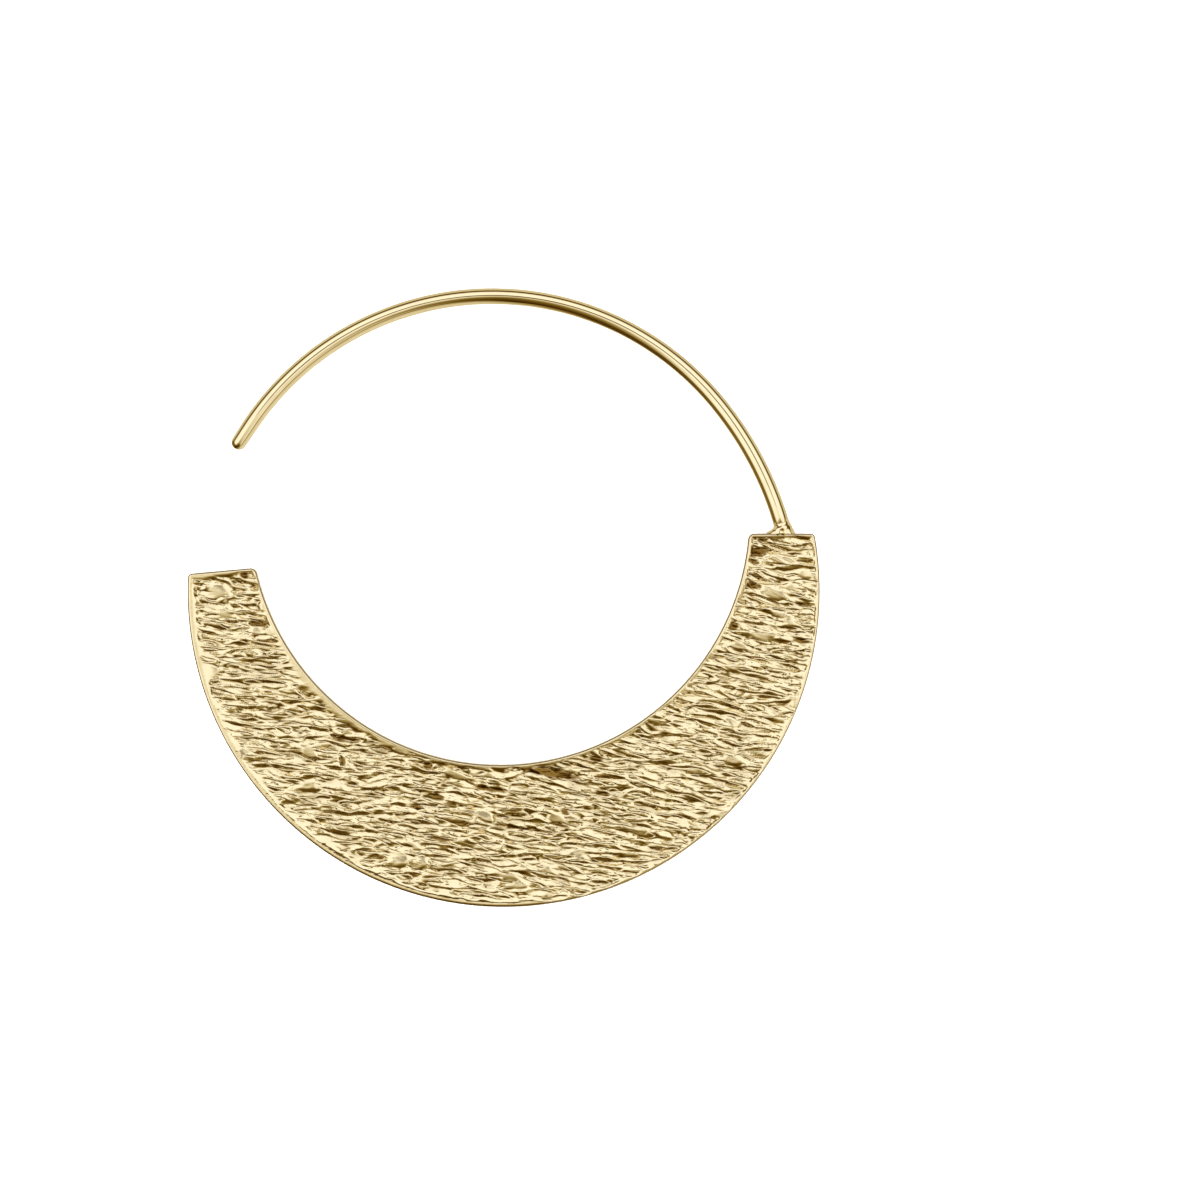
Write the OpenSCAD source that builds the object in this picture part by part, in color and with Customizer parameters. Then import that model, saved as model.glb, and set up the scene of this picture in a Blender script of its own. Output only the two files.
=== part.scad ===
// Creole hoop earring: a flat crescent plate with a cast bark relief, and an open ear wire
// soldered to the end of its longer arm. It lies on its back, relief upwards, with the
// crescent's belly towards -Y. The wire leans backwards, so the plate's belly and the top
// of the wire touch the surface, and the arms stand just clear of it.

/* [Crescent plate] */
// Radius of the plate's outer edge
outer_r = 19.75; // [19:0.05:20.5]
// Radius of the opening above the belly
inner_r = 15.6; // [15:0.05:16]
// How far the opening's centre lies above the outer edge's centre
opening_rise = 4.74; // [4.4:0.02:5]
// How far the opening's centre lies to the left of the outer edge's centre
opening_shift = 0.25; // [0:0.05:0.5]
// Height of the left arm's end above the outer edge's centre
left_end = 1.2; // [0.5:0.05:2]
// Height of the right arm's end, which carries the wire
right_end = 3.55; // [3:0.05:4]
// Rounding of the outer corner of each end
outer_corner_r = 0.22; // [0.1:0.01:0.4]
// Rounding of the inner corner of each end
inner_corner_r = 0.35; // [0.1:0.01:0.5]
// Thickness of the plate
plate_t = 1.05; // [1:0.01:1.3]

/* [Bark relief] */
// Width of the smooth rim that frames the relief
rim_w = 0.24; // [0.2:0.01:0.5]
// Depth of the deepest furrow below the rim
furrow_depth = 0.26; // [0.1:0.01:0.4]
// Depth of the ridges' crests below the rim
crest_depth = 0.03; // [0.02:0.01:0.06]
// Mean spacing of the ridges, across the grain
ridge_gap = 1.25; // [0.8:0.05:2]
// How far the ridges wander, in spacings
ridge_wander = 1.4; // [0:0.1:3]
// Mean length of the ridges, along the grain
ridge_length = 3.4; // [2:0.1:6]
// Slope of the grain at the middle of the plate, falling to the right
grain_slope = 12; // [0:1:25]
// Sharpness of the furrows: a higher number makes them narrower
furrow_sharpness = 2; // [1:0.5:4]
// Number that picks one of the many like reliefs
relief_seed = 41; // [1:1:99]

/* [Ear wire] */
// Diameter of the wire
wire_d = 1.0; // [0.98:0.01:1]
// Diameter of the tip, filed a little thinner
tip_d = 0.96; // [0.8:0.01:0.96]
// Distance of the first bend to the right of the outer edge's centre
bend_x = 17.25; // [17:0.05:17.5]
// Height of the first bend above the outer edge's centre
bend_y = 4.65; // [4.6:0.01:4.8]
// Direction in which the wire leaves the plate, from +X
wire_heading = 107.5; // [106:0.5:109]
// Angle of the long bend over the top
wire_bow = 107; // [95:1:112]
// Slope of the wire's backward lean where it begins
lean_slope = 0.024; // [0:0.002:0.04]
// Growth of the lean with the square of the height
lean_curve = 0.00775; // [0:0.00025:0.01]
// Length of the straight tip that goes through the ear
tip_length = 1.2; // [1:0.1:2]

/* [Solder joint] */
// Height of the solder above the plate's end
solder_h = 0.7; // [0.5:0.05:0.8]
// Radius of the solder's hollow sides
solder_r = 0.9; // [0.85:0.05:1.1]
// Thickness of the solder, which is a little less than the wire's
solder_t = 0.88; // [0.8:0.02:0.92]

/* [Hidden] */
$fn = 96;

// Columns of the wire's bends, seen from the front
BEND_R = 0;
BEND_ANGLE = 1;
wire_bends = [
    [21.5, 22],
    [18.2, wire_bow]
];
// Length of straight wire from its seat in the plate to the first bend
root_length = 1.25;
// Rings of the bent wire, and points in a ring
wire_rings = 40;
wire_sides = 20;
// The wire leans back above this line, which rises by lean_line from +X
lean_start = 8;
lean_line = 80;

// The opening's centre, seen from the outer edge's centre
opening = [-opening_shift, opening_rise];
outer_centre = [0, 0];

// Steps of the relief along the crescent and across it
relief_steps = 190;
relief_rows = 22;
// The relief's cutter reaches this far above the plate
cutter_clear = 0.2;
// Side of the square table of random heights, which repeats
table_side = 48;
heights = rands(0, 1, table_side * table_side, relief_seed);

// Point of a circle at the height y, on its left (-1) or its right (1)
function side_point(centre, r, side, y) = [centre[0] + side * sqrt(r * r - pow(y - centre[1], 2)), y];

// Angle of a point about a centre, between -90 and 270 degrees
function angle_about(centre, p) =
    let (a = atan2(p[1] - centre[1], p[0] - centre[0])) a < -90 ? a + 360 : a;

function polar(centre, r, a) = [centre[0] + r * cos(a), centre[1] + r * sin(a)];

function blend(a, b, t) = a + (b - a) * t;

// Angles of the left and right end of an arc that keeps the inset from the plate's edges
function arc_span(centre, r, inset) = [
    angle_about(centre, side_point(centre, r, -1, left_end - inset)),
    angle_about(centre, side_point(centre, r, 1, right_end - inset)) + 360
];

// Point of the crescent: u runs from the left end to the right, v from the opening outwards
function crescent_point(u, v, inset) =
    let (
        in_r = inner_r + inset,
        out_r = outer_r - inset,
        in_span = arc_span(opening, in_r, inset),
        out_span = arc_span(outer_centre, out_r, inset)
    )
    blend(polar(opening, in_r, blend(in_span[0], in_span[1], u)),
          polar(outer_centre, out_r, blend(out_span[0], out_span[1], u)), v);

// Smooth noise between the random heights at whole coordinates
function table_height(i, j) =
    heights[(i + 4 * table_side) % table_side * table_side + (j + 4 * table_side) % table_side];
function ease(t) = t * t * (3 - 2 * t);
function noise(x, y) =
    let (i = floor(x), j = floor(y), s = ease(x - i), t = ease(y - j))
    blend(blend(table_height(i, j), table_height(i + 1, j), s),
          blend(table_height(i, j + 1), table_height(i + 1, j + 1), s), t);

// Depth of the relief below the rim: long ridges that wander, with narrow furrows between them
function relief_depth(p) =
    let (
        slope = grain_slope * (1 + 0.4 * p[0] / outer_r),
        along = p[0] * cos(slope) - p[1] * sin(slope),
        across = p[0] * sin(slope) + p[1] * cos(slope),
        wander = noise(along / ridge_length, across / (2 * ridge_gap)),
        strength = noise(along / ridge_length + table_side / 2, across / ridge_gap),
        furrow = pow(abs(cos(180 * (across / ridge_gap + ridge_wander * wander))), furrow_sharpness)
    )
    blend(crest_depth, furrow_depth, min(1, furrow * (0.25 + strength)));

// Plane outline of one end: two round corners and the straight edge between them
module end_corners(side, end) {
    outer_c = side_point(outer_centre, outer_r - outer_corner_r, side, end - outer_corner_r);
    inner_c = side_point(opening, inner_r + inner_corner_r, side, end - inner_corner_r);
    translate(outer_c) circle(r = outer_corner_r);
    translate(inner_c) circle(r = inner_corner_r);
    translate([min(outer_c[0], inner_c[0]), end - 2 * inner_corner_r])
        square([abs(outer_c[0] - inner_c[0]), 2 * inner_corner_r]);
}

// Region that keeps the crescent below its rounded ends
module below_ends() {
    reach = outer_r + 5;
    left_out = side_point(outer_centre, outer_r - outer_corner_r, -1, left_end - outer_corner_r);
    left_in = side_point(opening, inner_r + inner_corner_r, -1, left_end - inner_corner_r);
    right_in = side_point(opening, inner_r + inner_corner_r, 1, right_end - inner_corner_r);
    right_out = side_point(outer_centre, outer_r - outer_corner_r, 1, right_end - outer_corner_r);
    polygon([
        [-reach, -reach],
        polar(outer_centre, reach, angle_about(outer_centre, left_out)),
        left_out,
        left_in,
        opening,
        right_in,
        right_out,
        polar(outer_centre, reach, angle_about(outer_centre, right_out)),
        [reach, -reach]
    ]);
}

module crescent_outline() {
    intersection() {
        difference() {
            circle(r = outer_r);
            translate(opening) circle(r = inner_r);
        }
        below_ends();
    }
    end_corners(-1, left_end);
    end_corners(1, right_end);
}

// Space above the relief: its underside is the relief's surface
module relief_cutter() {
    row = relief_rows + 1;
    count = (relief_steps + 1) * row;
    plan = [for (i = [0:relief_steps]) for (j = [0:relief_rows])
        crescent_point(i / relief_steps, j / relief_rows, rim_w)];
    floor_points = [for (p = plan) [p[0], p[1], plate_t - relief_depth(p)]];
    lid_points = [for (p = plan) [p[0], p[1], plate_t + cutter_clear]];
    // Indices round the relief's border, in order
    border = concat(
        [for (i = [0:relief_steps - 1]) i * row],
        [for (j = [0:relief_rows - 1]) relief_steps * row + j],
        [for (i = [relief_steps:-1:1]) i * row + relief_rows],
        [for (j = [relief_rows:-1:1]) j]
    );
    n = len(border);
    floor_faces = [for (i = [0:relief_steps - 1]) for (j = [0:relief_rows - 1]) for (half = [0, 1])
        let (a = i * row + j, b = a + row)
        half == 0 ? [a, a + 1, b + 1] : [a, b + 1, b]];
    wall_faces = [for (k = [0:n - 1]) for (half = [0, 1])
        let (a = border[k], b = border[(k + 1) % n])
        half == 0 ? [a, b, b + count] : [a, b + count, a + count]];
    lid = [[for (k = [n - 1:-1:0]) border[k] + count]];
    polyhedron(points = concat(floor_points, lid_points), faces = concat(floor_faces, wall_faces, lid));
}

module crescent_plate() {
    difference() {
        linear_extrude(height = plate_t) crescent_outline();
        relief_cutter();
    }
}

// Straight end of the wire with its rounded tip, along +Y
module wire_tip() {
    seat = 0.3;
    rotate([-90, 0, 0]) rotate_extrude() intersection() {
        union() {
            translate([0, -seat]) square([tip_d / 2, tip_length + seat]);
            translate([0, tip_length]) circle(d = tip_d);
        }
        translate([0, -seat]) square([tip_d / 2, tip_length + seat + tip_d]);
    }
}

// Length of wire up to the end of the bend i, with the root
function length_to(i) =
    i < 0 ? root_length : length_to(i - 1) + wire_bends[i][BEND_R] * wire_bends[i][BEND_ANGLE] * PI / 180;

// Place and heading of the wire at the length s, seen from the front: [x, y, heading]
function wire_place(s, i = 0, start = [bend_x, bend_y, wire_heading]) =
    let (
        heading = start[2],
        r = wire_bends[i][BEND_R],
        run = s - length_to(i - 1),
        turn = min(run / r * 180 / PI, wire_bends[i][BEND_ANGLE]),
        centre = [start[0] - r * sin(heading), start[1] + r * cos(heading)],
        end = [centre[0] + r * sin(heading + turn), centre[1] - r * cos(heading + turn), heading + turn]
    )
    run < 0 ? [start[0] + run * cos(heading), start[1] + run * sin(heading), heading]
    : i == len(wire_bends) - 1 || s <= length_to(i) ? end
    : wire_place(s, i + 1, end);

// Height of a point of the wire above the line where its lean begins
function lean_height(p) = max(0, p[0] * cos(lean_line) + p[1] * sin(lean_line) - lean_start);
function lean(p) = lean_slope * lean_height(p) + lean_curve * pow(lean_height(p), 2);
// Slope of the wire towards the front as it runs
function wire_slope(p) = lean_height(p) == 0 ? 0
    : -(lean_slope + 2 * lean_curve * lean_height(p)) * cos(p[2] - lean_line);

// The wire's rings from its seat to the tip, each a place and a heading
wire_length = length_to(len(wire_bends) - 1);
wire_path = [for (i = [0:wire_rings]) wire_place(wire_length * i / wire_rings)];

function wire_ring(p) =
    let (g = wire_slope(p), side = [-sin(p[2]), cos(p[2]), 0],
         up = [-g * cos(p[2]), -g * sin(p[2]), 1] / sqrt(1 + g * g))
    [for (k = [0:wire_sides - 1]) [p[0], p[1], plate_t / 2 - lean(p)]
        + wire_d / 2 * (side * cos(k * 360 / wire_sides) + up * sin(k * 360 / wire_sides))];

module bent_wire() {
    points = [for (p = wire_path) each wire_ring(p)];
    skin = [for (i = [0:wire_rings - 1]) for (k = [0:wire_sides - 1]) for (half = [0, 1])
        let (a = i * wire_sides + k, b = i * wire_sides + (k + 1) % wire_sides)
        half == 0 ? [a, a + wire_sides, b + wire_sides] : [a, b + wire_sides, b]];
    caps = [
        [for (k = [0:wire_sides - 1]) k],
        [for (k = [wire_sides - 1:-1:0]) wire_rings * wire_sides + k]
    ];
    polyhedron(points = points, faces = concat(skin, caps));
}

module ear_wire() {
    end = wire_path[wire_rings];
    bent_wire();
    translate([end[0], end[1], plate_t / 2 - lean(end)])
        rotate([0, 0, end[2] - 90])
            rotate([atan(wire_slope(end)), 0, 0])
                wire_tip();
}

// Solder drawn up the wire from the plate's end, with hollow sides that run out on the wire
module solder_joint() {
    seat_x = bend_x + (bend_y - right_end) / tan(180 - wire_heading);
    hollow_x = wire_d / 2 + solder_r;
    sink = rim_w;
    translate([seat_x, right_end, plate_t / 2])
        rotate([0, 0, wire_heading - 90])
            linear_extrude(height = solder_t, center = true)
                difference() {
                    translate([-hollow_x, -sink]) square([2 * hollow_x, solder_h + sink]);
                    for (side = [-1, 1])
                        translate([side * hollow_x, solder_h]) circle(r = solder_r);
                }
}

// The earring settles back until the plate's belly and the wire's top touch the surface.
// The line between them runs in the direction settle_line, under the weight's centre.
settle_line = 88;
top_height = max([for (p = wire_path) lean_height(p)]);
top_lean = lean_slope * top_height + lean_curve * pow(top_height, 2);
settle_span = outer_r + (lean_start + top_height) * sin(lean_line);
settle_angle = atan((top_lean + wire_d / 2 - plate_t / 2) / settle_span);
// Highest point of the wire above the outer edge's centre
wire_top = max([for (p = wire_path) p[1]]) + wire_d / 2;

module hoop() {
    color("gold")
        translate([0, (outer_r - wire_top) / 2, outer_r * sin(settle_angle)])
            rotate([0, 0, settle_line - 90])
                rotate([settle_angle, 0, 0])
                    rotate([0, 0, 90 - settle_line]) {
                        crescent_plate();
                        ear_wire();
                        solder_joint();
                    }
}

hoop();
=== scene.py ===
import math

import bmesh
import bpy
from mathutils import Matrix, Vector, noise


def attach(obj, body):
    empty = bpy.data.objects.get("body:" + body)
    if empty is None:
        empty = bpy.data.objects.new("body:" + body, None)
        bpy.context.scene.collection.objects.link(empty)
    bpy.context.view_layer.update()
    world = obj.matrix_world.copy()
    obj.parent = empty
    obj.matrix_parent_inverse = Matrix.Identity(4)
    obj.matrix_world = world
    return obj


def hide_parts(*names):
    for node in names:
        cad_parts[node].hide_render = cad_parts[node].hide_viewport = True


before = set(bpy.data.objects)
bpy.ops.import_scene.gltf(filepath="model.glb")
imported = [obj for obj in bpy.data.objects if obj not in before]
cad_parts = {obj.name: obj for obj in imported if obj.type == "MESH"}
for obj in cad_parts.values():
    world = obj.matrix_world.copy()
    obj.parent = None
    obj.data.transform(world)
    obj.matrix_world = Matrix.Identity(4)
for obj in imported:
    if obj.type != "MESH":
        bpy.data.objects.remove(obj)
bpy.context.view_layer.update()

scene = bpy.context.scene
mm = 0.001


# small helpers
def mix(a, b, t):
    return a + (b - a) * t


def ramp(x, low, high):
    # 0 below low, 1 above high, smooth between
    t = min(1.0, max(0.0, (x - low) / (high - low)))
    return t * t * (3 - 2 * t)


def cellNoise(along, across, cells):
    # about -1 to 1; cells are the length and width of its humps and a seed
    length, width, seed = cells
    return noise.noise((along / length, across / width, seed))


def extrudeOn(bm, edges):
    # carries an open edge one step on; gives its new corners and edges
    made = bmesh.ops.extrude_edge_only(bm, edges=edges)["geom"]
    verts = [g for g in made if isinstance(g, bmesh.types.BMVert)]
    return verts, [g for g in made if isinstance(g, bmesh.types.BMEdge) and g.is_boundary]


def sweepCircle(bm, segments, rings):
    # carries a unit circle from ring to ring, each a matrix, and closes both ends
    bmesh.ops.create_circle(bm, segments=segments, radius=1.0)
    first = list(bm.edges)
    verts, edges = list(bm.verts), first
    last = Matrix.Identity(4)
    for k, target in enumerate(rings):
        if k:
            verts, edges = extrudeOn(bm, edges)
        bmesh.ops.transform(bm, matrix=target @ last.inverted(), verts=verts)
        last = target
    bmesh.ops.contextual_create(bm, geom=edges)
    bmesh.ops.contextual_create(bm, geom=first)
    bmesh.ops.recalc_face_normals(bm, faces=bm.faces)


# how the earring lies: it settles back onto the belly and the top of the wire
rest = {
    "turn": -2.0,
    "tilt": 1.5972,
    "shiftY": 0.38307,
    "lift": 0.5505,
}


def restMatrix():
    # from millimetres about the centre of the plate's outer edge to metres on the floor
    turn = Matrix.Rotation(math.radians(rest["turn"]), 4, "Z")
    tilt = Matrix.Rotation(math.radians(rest["tilt"]), 4, "X")
    place = Matrix.Translation((0, rest["shiftY"], rest["lift"]))
    return Matrix.Scale(mm, 4) @ place @ turn @ tilt @ turn.inverted()


def finishPiece(name, bm, material):
    bmesh.ops.transform(bm, matrix=restMatrix(), verts=bm.verts)
    mesh = bpy.data.meshes.new(name)
    bm.to_mesh(mesh)
    bm.free()
    mesh.materials.append(material)
    mesh.shade_smooth()
    piece = bpy.data.objects.new(name, mesh)
    scene.collection.objects.link(piece)
    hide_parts("hoop")
    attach(piece, "root")
    print(name, "faces", len(mesh.polygons))


# crescent plate, in millimetres from the centre of its outer edge
plate = {
    "outerR": 19.75,
    "openR": 15.6,
    "openX": -0.25,
    "openY": 4.74,
    "armX": 17.5,            # about the middle of each arm's end
    "leftEnd": 1.3,
    "rightEnd": 3.62,
    "leftSlope": 0.09,       # the left end rises a little towards the opening
    "outerCorner": 0.2,
    "innerCorner": 0.36,
    "leastCorner": 0.03,
    "thick": 1.05,
    "edgeRound": 0.11,
    "edgeSteps": 2,
    "edgeFlat": 0.04,        # the side starts this far under the rounded edge
    # painted shade on the rounded edge, a dark outline
    "edgeShade": 0.75,
    "alongCells": 700,
    "acrossCells": 124,
    "armCloseness": 0.2,     # cells lie closer in the arms than in the belly
}


def endLine(side, x):
    if side > 0:
        return plate["rightEnd"]
    return plate["leftEnd"] + plate["leftSlope"] * (x + plate["armX"])


def edgeGaps(x, y, inset=0.0):
    # distances inwards from the end, the outer edge and the opening
    side = 1 if x > 0 else -1
    end = endLine(side, x) - inset - y
    outer = plate["outerR"] - inset - math.hypot(x, y)
    inner = math.hypot(x - plate["openX"], y - plate["openY"]) - plate["openR"] - inset
    return end, outer, inner


def arcAngles(centreX, centreY, radius, inset):
    # where an arc meets the left and the right end, the right one a turn on
    angles = []
    for side in (-1, 1):
        x = side * plate["armX"]
        # the left end slopes, so it takes a few tries
        for step in range(3):
            y = endLine(side, x) - inset
            x = centreX + side * math.sqrt(radius ** 2 - (y - centreY) ** 2)
        angle = math.atan2(y - centreY, x - centreX)
        angles.append(angle % math.tau + (math.tau if side > 0 and angle > 0 else 0))
    return angles


def crescentSpans(inset):
    return (
        arcAngles(plate["openX"], plate["openY"], plate["openR"] + inset, inset),
        arcAngles(0.0, 0.0, plate["outerR"] - inset, inset),
    )


def roundCorner(x, y, inset):
    # turns the square corners of the cell grid into round ones
    end, outer, inner = edgeGaps(x, y, inset)
    for gap, corner, centreX, centreY, way in (
        (outer, plate["outerCorner"], 0.0, 0.0, -1),
        (inner, plate["innerCorner"], plate["openX"], plate["openY"], 1),
    ):
        r = max(plate["leastCorner"], corner - inset)
        if end < r and gap < r:
            across, up = r - gap, r - end
            far = math.hypot(across, up)
            if far > 0:
                shrink = max(across, up) / far
                across, up = across * shrink, up * shrink
            radius = math.hypot(x - centreX, y - centreY) + way * ((r - across) - gap)
            side = 1 if x > 0 else -1
            y = y - ((r - up) - end)
            x = centreX + side * math.sqrt(max(0.0, radius ** 2 - (y - centreY) ** 2))
    return x, y


def crescentPoint(u, v, inset, spans):
    # u runs round the crescent and v from the opening outwards, both 0 to 1
    s = u - plate["armCloseness"] / (2 * math.pi) * math.sin(2 * math.pi * u)
    (innerFrom, innerTo), (outerFrom, outerTo) = spans
    a, b = mix(innerFrom, innerTo, s), mix(outerFrom, outerTo, s)
    inR, outR = plate["openR"] + inset, plate["outerR"] - inset
    x = mix(plate["openX"] + inR * math.cos(a), outR * math.cos(b), v)
    y = mix(plate["openY"] + inR * math.sin(a), outR * math.sin(b), v)
    return roundCorner(x, y, inset)


# bark relief: long folds with sharp furrows between, smooth patches and deep pits
# cells are the length and width of the humps in millimetres and a seed
bark = {
    "rimFrom": 0.15,
    "rimTo": 0.36,
    "rimWaver": 0.9,
    "rimWaverCells": (1.1, 1.1, 30.0),
    "rimWider": 1.2,         # at the lower left the rim is wider
    "rimWiderFrom": 15.2,
    "rimWiderTo": 18.5,
    "slopeTo": 1.1,          # the bark sinks gently from the rim inwards
    "topGap": 0.09,
    "waveDepth": 0.06,
    "waveCells": (2.6, 0.9, 6.0),
    "tiltDepth": 0.035,
    "tiltCells": (1.1, 0.36, 26.0),
    "furrowWeak": 0.25,      # the furrows come and go along their length
    "furrowCells": (1.9, 0.7, 14.0),
    "furrowVary": 0.35,
    "weltHeight": 0.085,
    "weltWidth": 0.13,
    "weltCells": (2.4, 0.54, 90.0),
    "calmCells": (2.2, 0.9, 21.0),
    "calmLean": 0.2,
    "calmFrom": 0.38,
    "calmTo": 0.58,
    "calmTilt": 0.8,         # how much of each is left out where the bark is calm
    "calmFurrow": 0.88,
    "calmWelt": 0.9,
    "spotLean": 0.15,
    "spotReach": 4.0,        # beyond this a spot has faded out
    "wobbleX": 0.3,          # the charted spots get uneven outlines
    "wobbleY": 0.16,
    "wobbleScale": (1.3, 2.1),
    "wobbleSeeds": (50.0, 60.0),
    "shadeDepth": 0.115,      # a furrow this deep counts as 1 in the painted shade
    "shadeFrom": 0.5,
    "shadeTo": 1.3,
    "shadeMost": 0.3,
    "pitShadeFrom": 0.25,
    "pitShadeTo": 0.8,
    "deepest": 0.28,
    "soft": 0.03,
}

# length and width of the folds, how wide and deep the furrows between them are, in millimetres
furrowSets = [
    {"long": 3.1, "wide": 0.60, "open": 0.22, "deep": 0.11, "seed": 40.0},
    {"long": 1.9, "wide": 0.43, "open": 0.25, "deep": 0.125, "seed": 47.0},
]

# charted: x, y, length, width and depth in millimetres
pits = [
    (-16.25, 1.0, 0.7, 0.4, 0.15),
    (-15.45, -2.0, 0.8, 0.28, 0.1),
    (-11.2, -7.0, 1.0, 0.32, 0.12),
    (-9.9, -9.25, 1.3, 0.32, 0.12),
    (-10.2, -10.6, 0.45, 0.5, 0.13),
    (-18.0, -6.4, 0.8, 0.2, 0.1),
    (-16.2, -7.8, 1.2, 0.2, 0.08),
    (3.1, -11.4, 2.9, 0.42, 0.15),
    (-0.85, -12.4, 2.2, 0.26, 0.12),
    (-4.25, -12.9, 0.9, 0.34, 0.13),
    (-5.6, -13.5, 0.7, 0.3, 0.12),
    (-4.8, -10.9, 0.7, 0.32, 0.12),
    (1.1, -14.8, 3.6, 0.2, 0.1),
    (6.1, -12.6, 1.1, 0.34, 0.12),
    (3.8, -13.8, 0.7, 0.32, 0.1),
    (5.8, -10.5, 0.8, 0.32, 0.12),
    (-4.2, -15.5, 1.3, 0.26, 0.1),
    (15.9, 2.5, 1.0, 0.4, 0.14),
    (15.65, 1.95, 0.5, 0.3, 0.1),
    (15.6, 0.4, 0.7, 0.28, 0.1),
    (14.25, -2.15, 0.6, 0.55, 0.13),
    (18.5, -3.1, 0.9, 0.28, 0.1),
    (18.85, -0.8, 1.1, 0.2, 0.08),
    (16.15, 3.25, 0.8, 0.24, 0.12),
]
# charted: x, y, length and width in millimetres
smoothPatches = [
    (-17.85, 0.05, 1.4, 0.8),
    (-16.1, 0.7, 1.6, 0.4),
    (-15.5, -2.4, 0.6, 0.45),
    (-14.6, -2.5, 0.7, 0.6),
    (-17.4, -1.4, 1.2, 0.6),
    (-15.4, -6.2, 0.6, 0.6),
    (-6.5, -16.7, 1.2, 0.9),
    (-5.1, -16.8, 0.9, 0.6),
    (0.55, -17.9, 1.4, 0.6),
    (4.75, -16.4, 1.4, 0.7),
    (2.8, -17.4, 0.9, 0.8),
    (17.5, 2.05, 1.8, 0.45),
    (16.2, 1.75, 1.0, 0.5),
    (16.8, -0.1, 1.8, 0.7),
    (18.1, 0.3, 1.4, 0.4),
    (16.1, -2.75, 1.5, 0.65),
    (17.9, -1.9, 0.8, 0.7),
    (14.3, -4.7, 1.1, 0.6),
]

# the grain falls to the right, more so in the right arm, and wavers
grain = {
    "lean": 0.15,
    "fall": 0.14,
    "fallMore": 0.003,
    "wavers": (
        (0.34, (3.1, 1.9, 3.0)),
        (0.1, (0.9, 0.6, 9.0)),
    ),
}


def grainPlace(x, y):
    # how far along and across the grain a point lies
    along = x - grain["lean"] * y
    across = y + grain["fall"] * x + grain["fallMore"] * x * x
    for reach, cells in grain["wavers"]:
        across += reach * cellNoise(along, across, cells)
    return along, across


def spot(x, y, centreX, centreY, length, width):
    # 1 in the middle of a charted spot that lies along the grain, 0 outside it
    dx, dy = x - centreX, y - centreY
    dy += bark["spotLean"] * dx
    d = (2 * dx / length) ** 2 + (2 * dy / width) ** 2
    return math.exp(-0.5 * d * d) if d < bark["spotReach"] else 0.0


def barkDepth(x, y):
    # depth below the rim, how much painted shade the furrows and pits get, and how calm the bark is
    along, across = grainPlace(x, y)
    slow = cellNoise(x, y + bark["calmLean"] * x, bark["calmCells"])
    calm = ramp(slow, bark["calmFrom"], bark["calmTo"])
    scaleX, scaleY = bark["wobbleScale"]
    seedX, seedY = bark["wobbleSeeds"]
    x += bark["wobbleX"] * noise.noise((x * scaleX, y * scaleY, seedX))
    y += bark["wobbleY"] * noise.noise((x * scaleX, y * scaleY, seedY))
    for patch in smoothPatches:
        calm = max(calm, spot(x, y, *patch))
    depth = bark["waveDepth"] * cellNoise(along, across, bark["waveCells"])
    tilt = bark["tiltDepth"] * cellNoise(along, across, bark["tiltCells"])
    depth += tilt * (1 - bark["calmTilt"] * calm)
    # painted shade: the deeper furrows and the pits are darkened in colour where their shade falls
    paintedShade = 0.0
    length, width, seed = bark["furrowCells"]
    for k, folds in enumerate(furrowSets):
        n = cellNoise(along, across, (folds["long"], folds["wide"], folds["seed"]))
        strength = cellNoise(along, across, (length, width, seed + k))
        strength = bark["furrowWeak"] + ramp(strength, -bark["furrowVary"], bark["furrowVary"])
        furrow = math.exp(-abs(n) / folds["open"]) * strength * (1 - bark["calmFurrow"] * calm)
        depth += folds["deep"] * furrow
        paintedShade = max(paintedShade, furrow * folds["deep"] / bark["shadeDepth"])
    # narrow raised welts
    n = cellNoise(along, across, bark["weltCells"])
    welt = bark["weltHeight"] * math.exp(-(n / bark["weltWidth"]) ** 2)
    depth -= welt * (1 - bark["calmWelt"] * calm)
    paintedShade = bark["shadeMost"] * ramp(paintedShade, bark["shadeFrom"], bark["shadeTo"])
    # the pits get painted shade as well
    for *where, deep in pits:
        inside = spot(x, y, *where)
        depth += deep * inside
        paintedShade = max(paintedShade, ramp(inside, bark["pitShadeFrom"], bark["pitShadeTo"]))
    return depth, paintedShade, calm


def rimGaps(x, y):
    # how far the bark has faded in, and how far it has sunk; the smooth rim wavers in width
    waver = 1 + bark["rimWaver"] * cellNoise(x, y, bark["rimWaverCells"])
    waver += bark["rimWider"] * ramp(-x - y, bark["rimWiderFrom"], bark["rimWiderTo"])
    closest = min(edgeGaps(x, y))
    fade = ramp(closest, bark["rimFrom"] * waver, bark["rimTo"] * waver)
    return fade, bark["topGap"] * ramp(closest, bark["rimFrom"], bark["slopeTo"])


def softStop(depth, fade):
    # keeps the relief between the rim and the deepest cut, with no crest cut flat
    soft, deepest = bark["soft"], bark["deepest"]
    if depth < soft:
        return mix(depth, soft * math.exp(depth / soft - 1), fade)
    if depth > deepest - soft:
        over = (depth - deepest) / soft + 1
        return deepest - soft * math.exp(-over)
    return depth


def edgeProfile():
    # how far in and how high each ring of the side lies, from the rim down to the back
    r, thick, steps = plate["edgeRound"], plate["thick"], plate["edgeSteps"]
    quarter = [k * math.pi / 2 / steps for k in range(1, steps + 1)]
    upper = [(r * (1 - math.sin(q)), thick - r * (1 - math.cos(q))) for q in quarter]
    upper.append((0.0, thick - r - plate["edgeFlat"]))
    lower = [(inset, thick - z) for inset, z in reversed(upper)]
    return upper + lower + [(r, 0.0)]


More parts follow.
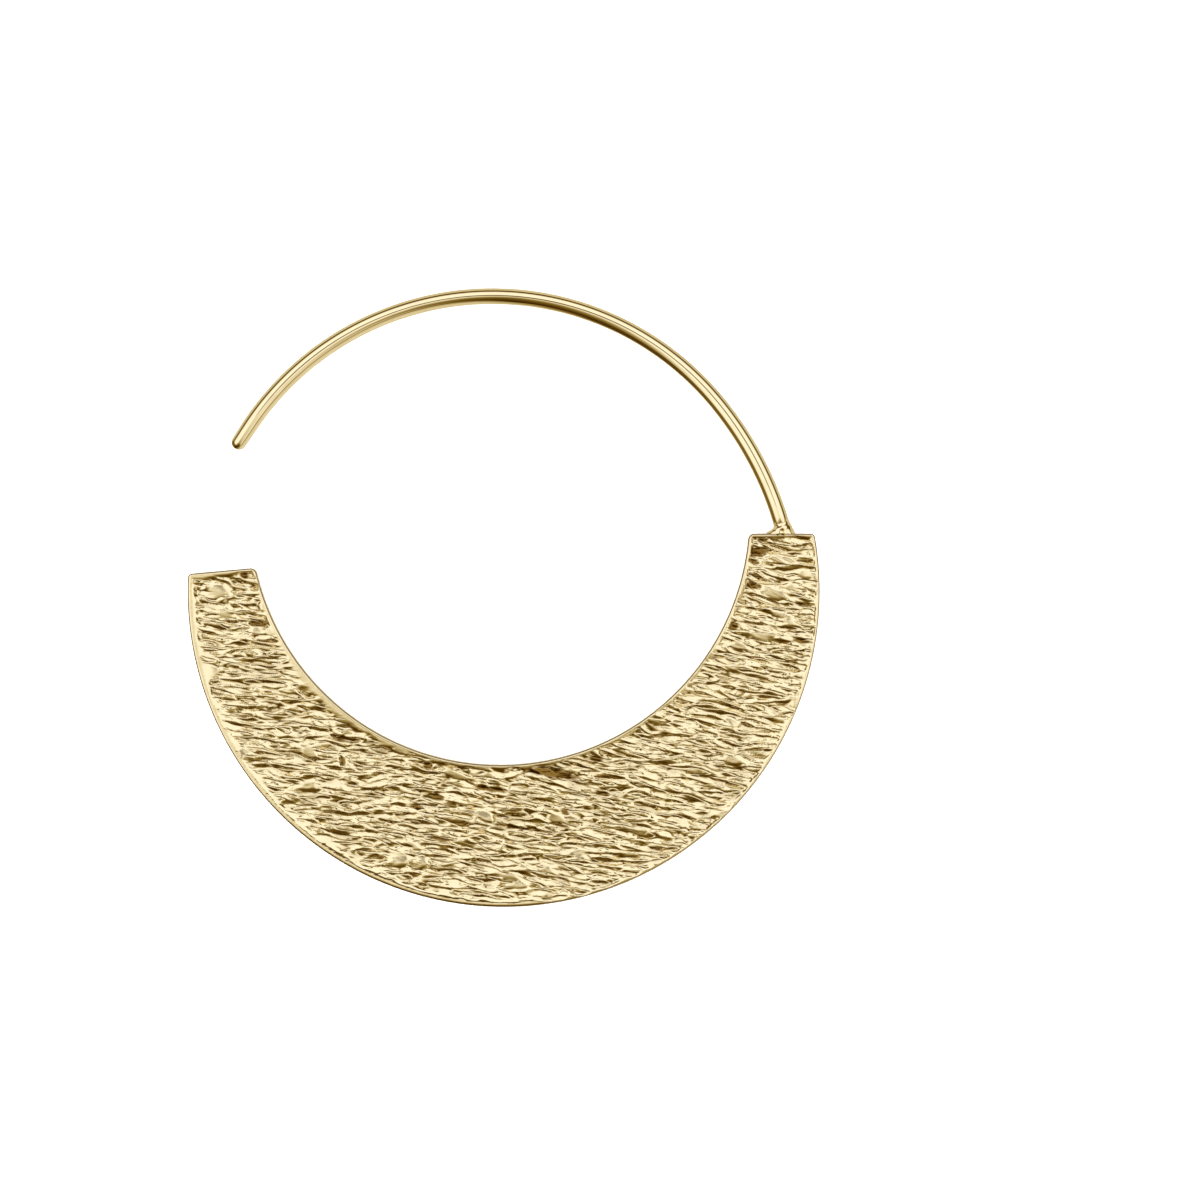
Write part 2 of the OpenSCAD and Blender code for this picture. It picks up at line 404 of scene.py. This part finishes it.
def crescentPlate(material):
    bm = bmesh.new()
    columns, rows = plate["alongCells"], plate["acrossCells"]
    bmesh.ops.create_grid(bm, x_segments=columns, y_segments=rows, size=0.5)
    names = ("u", "v", "furrow", "busy", "calm")
    layers = [bm.verts.layers.float.new(name) for name in names]
    uLayer, vLayer, furrowLayer, busyLayer, calmLayer = layers
    spans = crescentSpans(plate["edgeRound"])
    for vert in bm.verts:
        u, v = vert.co.x + 0.5, vert.co.y + 0.5
        vert[uLayer], vert[vLayer] = u, v
        x, y = crescentPoint(u, v, plate["edgeRound"], spans)
        fade, sunk = rimGaps(x, y)
        depth, paintedShade, calm = barkDepth(x, y) if fade > 0 else (0.0, 0.0, 1.0)
        # the painted shade of the furrows and pits goes into this layer
        vert[furrowLayer] = paintedShade * fade
        vert[busyLayer] = (1 - calm) * fade
        vert[calmLayer] = calm * fade
        vert.co = (x, y, plate["thick"] - softStop(sunk + depth * fade, fade))
    # the rim is carried over the rounded edges and down the side
    edges = [e for e in bm.edges if e.is_boundary]
    for k, (inset, z) in enumerate(edgeProfile()):
        spans = crescentSpans(inset)
        verts, edges = extrudeOn(bm, edges)
        for vert in verts:
            x, y = crescentPoint(vert[uLayer], vert[vLayer], inset, spans)
            vert.co = (x, y, z)
            # painted shade darkens the turned edge
            vert[furrowLayer] = plate["edgeShade"] if k < plate["edgeSteps"] else 0.0
            vert[busyLayer] = vert[calmLayer] = 0.0
    bmesh.ops.contextual_create(bm, geom=edges)
    bmesh.ops.recalc_face_normals(bm, faces=bm.faces)
    finishPiece("crescentPlate", bm, material)


# ear wire
wire = {
    "radius": 0.5,
    "tipRadius": 0.48,
    "bendX": 17.25,
    "bendY": 4.65,
    "heading": 107.5,
    "bends": ((21.5, 22.0), (18.2, 107.0)),   # radius, angle
    "rootLength": 1.25,
    "tipLength": 1.2,
    "tipSteps": (0.33, 0.66, 1.0),
    "domeRings": 8,
    "domeOpen": 0.6,         # of a ring: the dome ends in a small flat
    "leanStart": 8.0,
    "leanLine": 80.0,
    "leanSlope": 0.024,
    "leanCurve": 0.00775,
    "around": 36,
    "stations": 150,
}


def wirePlace(s):
    # place, heading and lean of the wire at the length s from its first bend
    x, y, heading = wire["bendX"], wire["bendY"], math.radians(wire["heading"])
    if s > 0:
        for r, angle in wire["bends"]:
            turn = min(math.radians(angle), s / r)
            x += r * (math.sin(heading + turn) - math.sin(heading))
            y -= r * (math.cos(heading + turn) - math.cos(heading))
            heading += turn
            s -= r * turn
            if s <= 0:
                break
    if abs(s) > 1e-9:
        x += s * math.cos(heading)
        y += s * math.sin(heading)
    line = math.radians(wire["leanLine"])
    height = max(0.0, x * math.cos(line) + y * math.sin(line) - wire["leanStart"])
    lean = wire["leanSlope"] * height + wire["leanCurve"] * height ** 2
    slope = 0.0
    if height > 0:
        steep = wire["leanSlope"] + 2 * wire["leanCurve"] * height
        slope = -steep * math.cos(heading - line)
    return x, y, plate["thick"] / 2 - lean, heading, slope


def ringMatrix(x, y, z, heading, slope, scaleX, scaleY):
    # lays a unit circle square to the wire: its first axis across, its second towards the back
    along = Vector((math.cos(heading), math.sin(heading), slope)).normalized()
    side = Vector((-math.sin(heading), math.cos(heading), 0))
    axes = Matrix((side, along.cross(side), along)).transposed().to_4x4()
    return Matrix.Translation((x, y, z)) @ axes @ Matrix.Diagonal((scaleX, scaleY, 1, 1))


def earWire(material):
    radius, tipRadius, count = wire["radius"], wire["tipRadius"], wire["stations"]
    total = sum(r * math.radians(a) for r, a in wire["bends"])
    end = total + wire["tipLength"]
    stations = [(-wire["rootLength"], radius)]
    stations += [(total * k / count, radius) for k in range(count + 1)]
    # the tip is filed a little thinner and rounded
    stations += [(mix(total, end, t), mix(radius, tipRadius, t)) for t in wire["tipSteps"]]
    for k in range(1, wire["domeRings"] + 1):
        q = k * math.pi / 2 / (wire["domeRings"] + wire["domeOpen"])
        stations.append((end + tipRadius * math.sin(q), tipRadius * math.cos(q)))
    bm = bmesh.new()
    sweepCircle(bm, wire["around"], [ringMatrix(*wirePlace(s), r, r) for s, r in stations])
    finishPiece("earWire", bm, material)


# solder joint; drop is 0 where it thins out on the wire and 1 on the plate
solder = {
    "height": 0.72,
    "halfWidth": 0.95,
    "halfDepth": 0.585,
    "overWire": 1.004,
    "hollow": 1.6,           # the sides hollow out like a drop drawn up the wire
    "deepTo": 0.9,
    "bead": 0.06,
    "beadAt": 0.45,
    "beadSpread": 0.2,
    "sink": 0.3,
    "shiftX": -0.24,
    "squareFrom": 0.15,
    "squareTo": 0.9,
    "toe": 0.6,
    "around": 64,
    "rings": 26,
    "streak": 0.045,
    "streakFrom": 0.05,
    "streakTo": 0.5,
    "streaks": ((1.0, 5.0, 1.4, 5.0), (0.5, 11.0, 3.0, 9.0)),   # share, closeness over x, y, z
}


def solderRing(up):
    # the ring at a height above the plate's end
    drop = 1 - max(0.0, up) / solder["height"]
    flare = drop ** solder["hollow"]
    thin = wire["radius"] * solder["overWire"]
    half = mix(thin, solder["halfWidth"], flare)
    deep = mix(thin, solder["halfDepth"], ramp(drop, 0.0, solder["deepTo"]))
    deep += solder["bead"] * math.exp(-((drop - solder["beadAt"]) / solder["beadSpread"]) ** 2)
    deep += solder["toe"] * min(0.0, up)
    toEnd = (wire["bendY"] - plate["rightEnd"]) / math.sin(math.radians(wire["heading"]))
    x, y, z, heading, slope = wirePlace(up - toEnd)
    x += solder["shiftX"] * flare
    square = ramp(drop, solder["squareFrom"], solder["squareTo"])
    return ringMatrix(x, y, z, mix(heading, math.pi / 2, square), slope, half, deep)


def solderJoint(material):
    bm = bmesh.new()
    last = solder["rings"]
    heights = [mix(-solder["sink"], solder["height"], k / last) for k in range(last + 1)]
    sweepCircle(bm, solder["around"], [solderRing(up) for up in heights])
    bm.normal_update()
    # it froze in streaks that run down to the plate
    top = plate["rightEnd"] + solder["height"]
    for vert in bm.verts:
        x, y, z = vert.co
        low = ramp(top - y, solder["streakFrom"], solder["streakTo"])
        streak = 0.0
        for share, closeX, closeY, closeZ in solder["streaks"]:
            streak += share * noise.noise((x * closeX, y * closeY, z * closeZ))
        vert.co = vert.co + vert.normal * solder["streak"] * streak * low
    finishPiece("solderJoint", bm, material)


# shader nodes
mixSockets = {"FLOAT": (2, 3, 0), "RGBA": (6, 7, 2)}   # a Mix node's two inputs and its output


def feed(tree, socket, source):
    # links a node's output, or sets a plain value
    if isinstance(source, bpy.types.NodeSocket):
        tree.links.new(source, socket)
    else:
        socket.default_value = source


def addNode(tree, kind, feeds, **settings):
    node = tree.nodes.new("ShaderNode" + kind)
    for name, value in settings.items():
        setattr(node, name, value)
    for name, source in feeds.items():
        feed(tree, node.inputs[name], source)
    return node


def addMath(tree, operation, *sources, clamp=False):
    feeds = dict(enumerate(sources))
    return addNode(tree, "Math", feeds, operation=operation, use_clamp=clamp).outputs[0]


def addMix(tree, kind, factor, a, b):
    first, second, result = mixSockets[kind]
    feeds = {"Factor": factor, first: a, second: b}
    return addNode(tree, "Mix", feeds, data_type=kind).outputs[result]


def addRange(tree, value, low, high, toLow=0.0, toHigh=1.0):
    feeds = {"Value": value, "From Min": low, "From Max": high, "To Min": toLow, "To Max": toHigh}
    return addNode(tree, "MapRange", feeds).outputs["Result"]


def addRamp(tree, factor, stops):
    node = addNode(tree, "ValToRGB", {"Fac": factor})
    elements = node.color_ramp.elements
    while len(elements) < len(stops):
        elements.new(0.5)
    for element, (at, color) in zip(elements, stops):
        element.position = at
        element.color = (color, color, color, 1) if isinstance(color, float) else (*color, 1)
    return node.outputs["Color"]


def objectPlace(tree):
    return addNode(tree, "TexCoord", {}).outputs["Object"]


def newGroup(name, inputs, outputs):
    group = bpy.data.node_groups.new(name, "ShaderNodeTree")
    for label, kind, value in inputs:
        socket = group.interface.new_socket(label, in_out="INPUT", socket_type="NodeSocket" + kind)
        socket.default_value = value
    for label, kind in outputs:
        group.interface.new_socket(label, in_out="OUTPUT", socket_type="NodeSocket" + kind)
    given = group.nodes.new("NodeGroupInput").outputs
    results = group.nodes.new("NodeGroupOutput").inputs
    return group, given, results


# gold
gold = {
    "crest": (0.92, 0.80, 0.53, 1),
    # painted shade: the dark brown laid into the furrows, pits and rounded edge
    "furrow": (0.24, 0.14, 0.03, 1),
    "polish": 0.035,
    "dull": 0.12,
    "satin": 0.2,            # the smooth patches are less polished than the folds
    "blotchScale": 900,
    "blotchDetail": 4,
    "blotchLight": -0.12,
    "blotchDark": 0.16,
    "streakDepth": 0.03,     # in millimetres, as are the finest folds
    "foldTurn": 9,
    "foldOpen": 0.05,
}
fineFolds = [
    {"long": 1.5, "wide": 0.36, "deep": 0.05},
    {"long": 0.6, "wide": 0.17, "deep": 0.006},
]
finishes = {
    "barkGold": {
        "bark": True, "scale": 1800, "stretch": (0.3, 1.6, 1), "bump": 0.3,
        "polish": gold["polish"], "dull": gold["dull"],
    },
    "wireGold": {
        "bark": False, "scale": 900, "stretch": (1, 1, 1), "bump": 0.02,
        "polish": 0.02, "dull": 0.06,
    },
    "solderGold": {
        "bark": False, "scale": 1500, "stretch": (1.2, 0.5, 1), "bump": 0.3,
        "polish": gold["polish"], "dull": gold["dull"],
    },
}


def toneGroup():
    # colour and roughness of the plating: painted shade darkens the furrows, which are also duller,
    # satin where it is calm
    group, given, results = newGroup(
        "goldTone",
        (
            ("Painted Shade", "Float", 0.0),
            ("Calm", "Float", 0.0),
            ("Crest Color", "Color", gold["crest"]),
            ("Painted Shade Color", "Color", gold["furrow"]),
            ("Polish", "Float", gold["polish"]),
            ("Dull", "Float", gold["dull"]),
            ("Satin", "Float", gold["satin"]),
        ),
        (("Color", "Color"), ("Roughness", "Float")),
    )
    blotch = addNode(group, "TexNoise", {
        "Vector": objectPlace(group),
        "Scale": gold["blotchScale"],
        "Detail": gold["blotchDetail"],
    })
    tint = addRange(group, blotch.outputs["Fac"], 0.0, 1.0, gold["blotchLight"], gold["blotchDark"])
    # random blotches of tone plus the painted shade of the furrows
    blotchAndShade = addMath(group, "ADD", tint, given["Painted Shade"], clamp=True)
    color = addMix(group, "RGBA", blotchAndShade, given["Crest Color"], given["Painted Shade Color"])
    sheen = addMix(group, "FLOAT", blotchAndShade, given["Polish"], given["Dull"])
    feed(group, results["Color"], color)
    feed(group, results["Roughness"], addMix(group, "FLOAT", given["Calm"], sheen, given["Satin"]))
    return group


def streakGroup():
    # fine streaks, long in one direction
    group, given, results = newGroup(
        "fineStreaks",
        (("Scale", "Float", 1.0), ("Stretch", "Vector", (1, 1, 1))),
        (("Height", "Float"),),
    )
    feeds = {0: objectPlace(group), 1: given["Stretch"]}
    stretched = addNode(group, "VectorMath", feeds, operation="MULTIPLY").outputs[0]
    streak = addNode(group, "TexNoise", {
        "Vector": stretched,
        "Scale": given["Scale"],
        "Detail": 3,
        "Roughness": 0.6,
    })
    feed(group, results["Height"], streak.outputs["Fac"])
    return group


def foldGroup():
    # the finest folds of the bark, 1 in the bottom of each furrow
    group, given, results = newGroup(
        "fineFolds",
        (("Long", "Float", 0.8), ("Wide", "Float", 0.25), ("Open", "Float", gold["foldOpen"])),
        (("Depth", "Float"),),
    )
    turn = (0, 0, math.radians(gold["foldTurn"]))
    turned = addNode(group, "Mapping", {"Vector": objectPlace(group), "Rotation": turn})
    cells = addNode(group, "CombineXYZ", {"X": given["Long"], "Y": given["Wide"], "Z": 4.0})
    feeds = {0: turned.outputs["Vector"], 1: cells.outputs[0]}
    folds = addNode(group, "TexNoise", {
        "Vector": addNode(group, "VectorMath", feeds, operation="DIVIDE").outputs[0],
        "Scale": 1000,
        "Detail": 0.6,
        "Distortion": 0.25,
    })
    middle = addMath(group, "SUBTRACT", folds.outputs["Fac"], 0.5)
    down = addMath(group, "MULTIPLY", addMath(group, "ABSOLUTE", middle), -1.0)
    valley = addMath(group, "EXPONENT", addMath(group, "DIVIDE", down, given["Open"]))
    feed(group, results["Depth"], valley)
    return group


groups = {"tone": toneGroup(), "streaks": streakGroup(), "folds": foldGroup()}


def goldMaterial(name):
    finish = finishes[name]
    material = bpy.data.materials.new(name)
    material.use_nodes = True
    tree = material.node_tree
    feeds = {"Polish": finish["polish"], "Dull": finish["dull"]}
    tone = addNode(tree, "Group", feeds, node_tree=groups["tone"])
    feeds = {"Scale": finish["scale"], "Stretch": finish["stretch"]}
    streaks = addNode(tree, "Group", feeds, node_tree=groups["streaks"])
    fine = addNode(tree, "Bump", {
        "Strength": finish["bump"],
        "Distance": gold["streakDepth"] * mm,
        "Height": streaks.outputs["Height"],
    })
    if finish["bark"]:
        # painted shade of the furrows, pits and rounded edge, read from the mesh
        furrow, calm, busy = [
            addNode(tree, "Attribute", {}, attribute_name=layer).outputs["Fac"]
            for layer in ("furrow", "calm", "busy")
        ]
        feed(tree, tone.inputs["Painted Shade"], furrow)
        feed(tree, tone.inputs["Calm"], calm)
        above = fine
        for fold in reversed(fineFolds):
            feeds = {"Long": fold["long"], "Wide": fold["wide"]}
            valleys = addNode(tree, "Group", feeds, node_tree=groups["folds"])
            cut = addNode(tree, "Bump", {
                "Strength": 1.0,
                "Distance": fold["deep"] * mm,
                "Height": addMath(tree, "MULTIPLY", valleys.outputs["Depth"], busy),
            }, invert=True)
            feed(tree, above.inputs["Normal"], cut.outputs["Normal"])
            above = cut
    shader = tree.nodes["Principled BSDF"].inputs
    shader["Metallic"].default_value = 1.0
    feed(tree, shader["Base Color"], tone.outputs["Color"])
    feed(tree, shader["Roughness"], tone.outputs["Roughness"])
    feed(tree, shader["Normal"], fine.outputs["Normal"])
    return material


barkGold, wireGold, solderGold = [goldMaterial(name) for name in finishes]
print("gold finishes made")

crescentPlate(barkGold)
earWire(wireGold)
solderJoint(solderGold)


# floor, lamp and camera
studio = {
    "floorHalf": 0.5,
    "floorColor": (0.9, 0.9, 0.9, 1),
    "floorRoughness": 0.9,
    "lens": 150.0,
    "sensor": 36.0,
    "frameWidth": 0.075,     # the photo's 1200 pixels are 75 mm here
    "frameHeight": 1.4,      # in millimetres above the floor, where the frame is that wide
    "centreX": 0.00602,
    "centreY": -0.00017,
    "clipStart": 0.01,
    "lamp": 7.0,
    "lampAngle": 100,
}

# white tent round the object: stops are (place, brightness), directions are (x, y, z)
tent = {
    "strength": 1.2,
    # over the direction up the picture; the sides count as higher
    "sideLift": 0.7,
    "byUp": (
        (0.0, 0.03), (0.1, 0.05), (0.2, 0.09), (0.3, 0.17),
        (0.4, 0.34), (0.47, 0.70), (0.54, 0.97), (1.0, 1.0),
    ),
    # over the height, 0 straight down, 0.5 at table level and 1 straight up
    "byHeight": (
        (0.0, 0.9), (0.38, 0.8), (0.46, 0.5), (0.52, 0.04),
        (0.69, 0.04), (0.77, 0.85), (0.84, 1.0), (1.0, 1.0),
    ),
    # at the lower left it is open
    "openSide": (-0.87, -0.5, 0.0),
    "openFrom": 0.4,
    "openTo": 0.8,
    "openHeight": ((0.0, 0.25), (0.4, 0.12), (0.62, 0.12), (0.76, 0.85), (0.82, 1.0), (1.0, 1.0)),
    # below table level it is an even tan, but for the open side
    "lowFrom": 0.12,
    "lowTo": -0.08,
    "lowTone": 0.55,
    # at the lower right it comes close, and only a seam is dark
    "nearSide": (0.75, -0.66, 0.0),
    "nearFrom": 0.6,
    "nearTo": 0.85,
    "nearHeight": (
        (0.0, 0.75), (0.5, 0.65), (0.66, 0.55), (0.7, 0.2),
        (0.76, 0.25), (0.82, 1.0), (1.0, 1.0),
    ),
    # oval hole where the lens looks in
    "lensWay": (0.0, 0.12, 1.0),
    "lensSize": (0.13, 0.14, 0.6),
    "lensEdge": 0.7,
    "lensDim": 0.06,
    # the dimmer, the warmer
    "warmth": (
        (0.0, (0.04, 0.015, 0.001)),
        (0.12, (0.14, 0.086, 0.013)),
        (0.3, (0.33, 0.26, 0.11)),
        (0.6, (0.64, 0.59, 0.45)),
        (0.9, (0.92, 0.90, 0.86)),
        (1.0, (1.0, 1.0, 1.0)),
    ),
}


def makeFloor():
    bm = bmesh.new()
    bmesh.ops.create_grid(bm, x_segments=1, y_segments=1, size=studio["floorHalf"])
    mesh = bpy.data.meshes.new("floor")
    bm.to_mesh(mesh)
    bm.free()
    material = bpy.data.materials.new("paleFloor")
    material.use_nodes = True
    shader = material.node_tree.nodes["Principled BSDF"]
    shader.inputs["Base Color"].default_value = studio["floorColor"]
    shader.inputs["Roughness"].default_value = studio["floorRoughness"]
    shader.inputs["Specular IOR Level"].default_value = 0.0
    mesh.materials.append(material)
    floor = bpy.data.objects.new("floor", mesh)
    scene.collection.objects.link(floor)
    # the gold mirrors the tent's lower half, not this sheet
    floor.visible_glossy = False


def makeWorld():
    world = bpy.data.worlds.new("tent")
    scene.world = world
    world.use_nodes = True
    tree = world.node_tree
    way = addNode(tree, "TexCoord", {}).outputs["Generated"]
    x, y, z = addNode(tree, "SeparateXYZ", {"Vector": way}).outputs
    lifted = addMath(tree, "MULTIPLY_ADD", addMath(tree, "ABSOLUTE", x), tent["sideLift"], y)
    byUp = addRamp(tree, addRange(tree, lifted, -1.0, 1.0), tent["byUp"])
    height = addRange(tree, z, -1.0, 1.0)

    def facing(side, low, high):
        # 0 to 1, the more it faces that side
        dot = addNode(tree, "VectorMath", {0: way, 1: side}, operation="DOT_PRODUCT")
        return addRange(tree, dot.outputs["Value"], low, high)

    opened = facing(tent["openSide"], tent["openFrom"], tent["openTo"])
    byHeight = addRamp(tree, height, tent["byHeight"])
    openHeight = addRamp(tree, height, tent["openHeight"])
    tone = addMath(tree, "MULTIPLY", byUp, addMix(tree, "RGBA", opened, byHeight, openHeight))
    lowness = addRange(tree, z, tent["lowFrom"], tent["lowTo"])
    lowMask = addMath(tree, "MULTIPLY", lowness, addMath(tree, "SUBTRACT", 1.0, opened))
    tone = addMix(tree, "FLOAT", lowMask, tone, tent["lowTone"])
    near = facing(tent["nearSide"], tent["nearFrom"], tent["nearTo"])
    tone = addMix(tree, "FLOAT", near, tone, addRamp(tree, height, tent["nearHeight"]))
    offLens = addNode(tree, "VectorMath", {0: way, 1: tent["lensWay"]}, operation="SUBTRACT")
    feeds = {0: offLens.outputs[0], 1: tent["lensSize"]}
    oval = addNode(tree, "VectorMath", feeds, operation="DIVIDE")
    away = addNode(tree, "VectorMath", {0: oval.outputs[0]}, operation="LENGTH")
    clear = addRange(tree, away.outputs["Value"], tent["lensEdge"], 1.0, tent["lensDim"], 1.0)
    color = addRamp(tree, addMath(tree, "MULTIPLY", tone, clear), tent["warmth"])

    # the gold mirrors the tent, the camera sees plain white
    background = tree.nodes["Background"]
    feed(tree, background.inputs["Color"], color)
    feed(tree, background.inputs["Strength"], tent["strength"])
    white = addNode(tree, "Background", {"Color": (1, 1, 1, 1)})
    seen = addNode(tree, "LightPath", {}).outputs["Is Camera Ray"]
    choose = addNode(tree, "MixShader", {0: seen, 1: background.outputs[0], 2: white.outputs[0]})
    feed(tree, tree.nodes["World Output"].inputs["Surface"], choose.outputs[0])


def makeFloorLamp():
    # lights the floor only: the gold doesn't mirror it
    light = bpy.data.lights.new("floorLamp", "SUN")
    light.energy = studio["lamp"]
    light.angle = math.radians(studio["lampAngle"])
    lamp = bpy.data.objects.new("floorLamp", light)
    lamp.visible_glossy = False
    scene.collection.objects.link(lamp)


def makeCamera():
    camera = bpy.data.cameras.new("camera")
    camera.lens = studio["lens"]
    camera.sensor_width = studio["sensor"]
    camera.clip_start = studio["clipStart"]
    distance = studio["frameWidth"] * studio["lens"] / studio["sensor"]
    holder = bpy.data.objects.new("camera", camera)
    height = distance + studio["frameHeight"] * mm
    holder.location = (studio["centreX"], studio["centreY"], height)
    scene.collection.objects.link(holder)
    scene.camera = holder


makeFloor()
makeWorld()
makeFloorLamp()
makeCamera()
scene.view_settings.view_transform = "Standard"
print("studio made")
